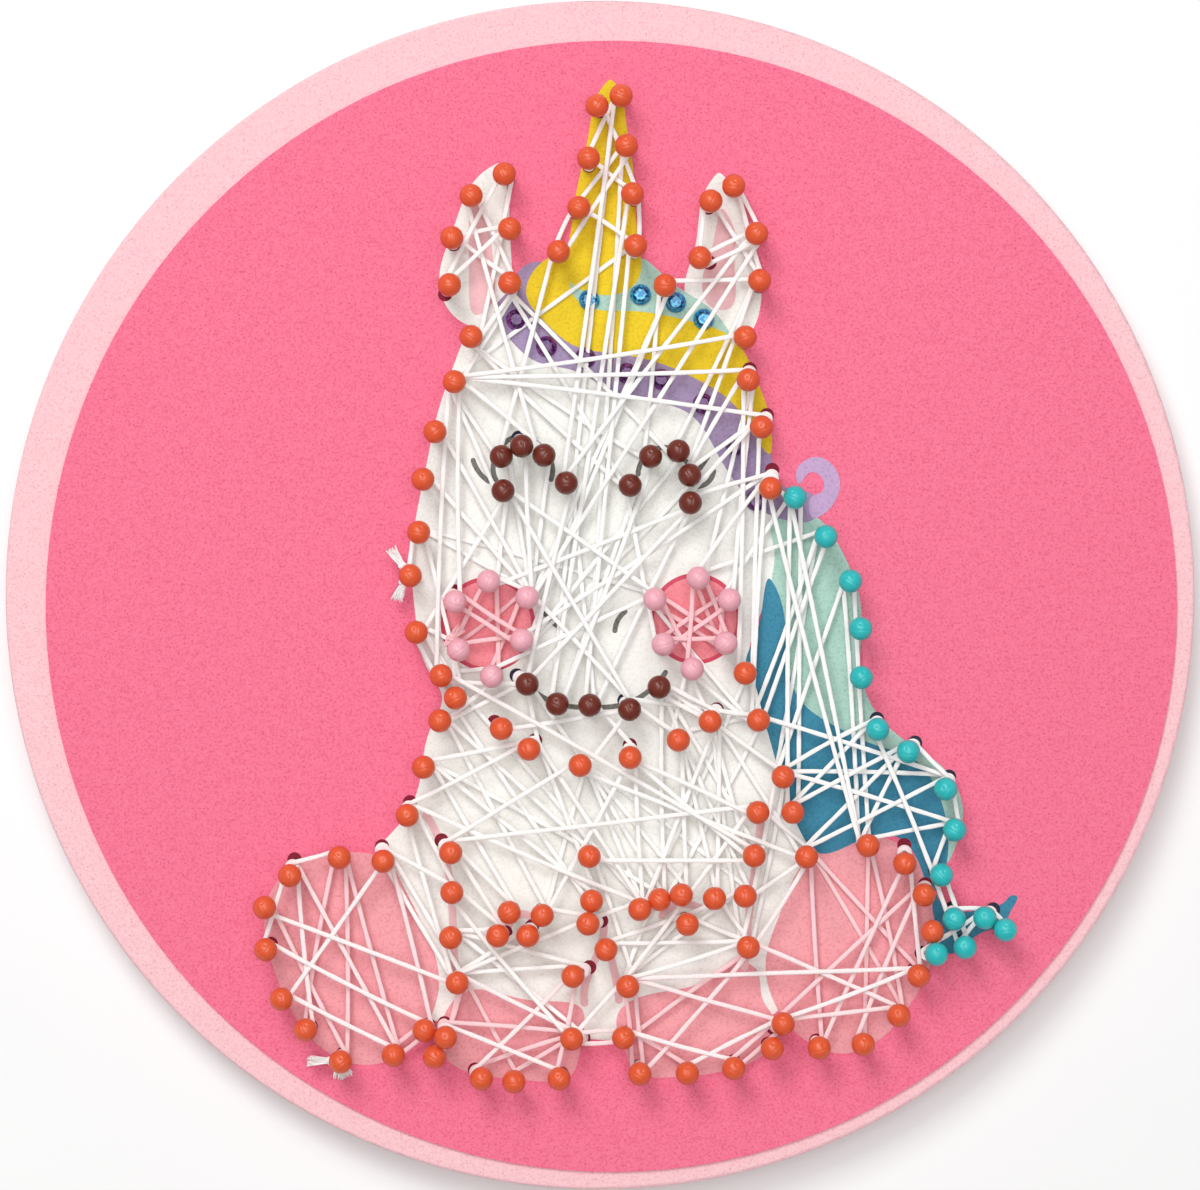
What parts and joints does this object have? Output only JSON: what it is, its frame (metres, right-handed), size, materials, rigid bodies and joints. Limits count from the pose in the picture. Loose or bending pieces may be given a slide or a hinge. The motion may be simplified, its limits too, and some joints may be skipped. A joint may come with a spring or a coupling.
{
  "type": "pin and thread picture",
  "caption": "Round foam board with a printed sitting unicorn, outlined by ball-head pins that are joined by a web of thread, with small flat-back stones.",
  "frame": {"origin": "centre of the foam board's flat back, at the bottom of the object's box", "axes": "+Z out of the picture towards the viewer, +Y up the picture, +X to the picture's right"},
  "size_m": [0.2, 0.2, 0.0215],
  "materials": {
    "foam": "light pink closed-cell foam sheet, finely speckled, matt",
    "glue": "dry clear glue film",
    "printed_face": "hot pink foam sheet, finely speckled, matt",
    "ink_white": "warm pale grey ink, matt",
    "ink_rose": "dusty rose ink, matt",
    "ink_blush": "pale blush pink ink, matt",
    "ink_yellow": "yellow ink, matt",
    "ink_mint": "mint ink, matt",
    "ink_teal": "teal ink, matt",
    "ink_lavender": "lavender ink, matt",
    "ink_lilac": "lilac ink, matt",
    "ink_cheek": "coral ink, matt",
    "ink_cheek_ring": "crimson ink, matt",
    "ink_grey": "grey ink, matt",
    "ink_mark": "dark red ink, matt",
    "ink_navy": "near-black blue ink, matt",
    "head_orange": "moulded orange plastic, satin",
    "head_brown": "moulded dark brown plastic, satin",
    "head_pink": "moulded pink plastic, satin",
    "head_turquoise": "moulded turquoise plastic, satin",
    "needle": "nickel-plated steel wire",
    "thread_white": "soft white spun cotton thread",
    "thread_pink": "soft light pink spun cotton thread",
    "stone_blue": "foil-backed faceted blue acrylic",
    "stone_purple": "foil-backed faceted purple acrylic"
  },
  "bodies": {
    "root": {"foam_board": "foam", "glue_film": "glue", "ink_cheek_fills": "ink_cheek", "ink_cheek_rings": "ink_cheek_ring", "ink_curl": "ink_lilac", "ink_ear_inners": "ink_blush", "ink_face_lines": "ink_grey", "ink_figure": "ink_white", "ink_forelock": "ink_mint", "ink_hooves": "ink_rose", "ink_horn_and_fringe": "ink_yellow", "ink_leg_lines": "ink_blush", "ink_mane": "ink_lavender", "ink_pin_marks_navy": "ink_navy", "ink_pin_marks_red": "ink_mark", "ink_tail": "ink_mint", "ink_tail_core": "ink_teal", "pin_heads_brown_eyes": "head_brown", "pin_heads_brown_mouth": "head_brown", "pin_heads_orange_body": "head_orange", "pin_heads_orange_chin": "head_orange", "pin_heads_orange_ears": "head_orange", "pin_heads_orange_head": "head_orange", "pin_heads_orange_horn": "head_orange", "pin_heads_orange_left_hooves": "head_orange", "pin_heads_orange_paws": "head_orange", "pin_heads_orange_right_hooves": "head_orange", "pin_heads_pink_left_cheek": "head_pink", "pin_heads_pink_right_cheek": "head_pink", "pin_heads_turquoise_tail": "head_turquoise", "pin_heads_turquoise_tail_tip": "head_turquoise", "pin_needles_body": "needle", "pin_needles_chin": "needle", "pin_needles_ears": "needle", "pin_needles_eyes": "needle", "pin_needles_head": "needle", "pin_needles_horn": "needle", "pin_needles_left_cheek": "needle", "pin_needles_left_hooves": "needle", "pin_needles_mouth": "needle", "pin_needles_paws": "needle", "pin_needles_right_cheek": "needle", "pin_needles_right_hooves": "needle", "pin_needles_tail": "needle", "pin_needles_tail_tip": "needle", "printed_face": "printed_face", "stone_glue": "glue", "stones_blue": "stone_blue", "stones_purple": "stone_purple", "thread_body": "thread_white", "thread_brow": "thread_white", "thread_chin": "thread_white", "thread_cut_ends": "thread_white", "thread_face": "thread_white", "thread_horn_and_ears": "thread_white", "thread_left_cheek": "thread_pink", "thread_left_hooves": "thread_white", "thread_right_cheek": "thread_pink", "thread_right_hooves": "thread_white", "thread_tail": "thread_white"}
  },
  "joints": []
}
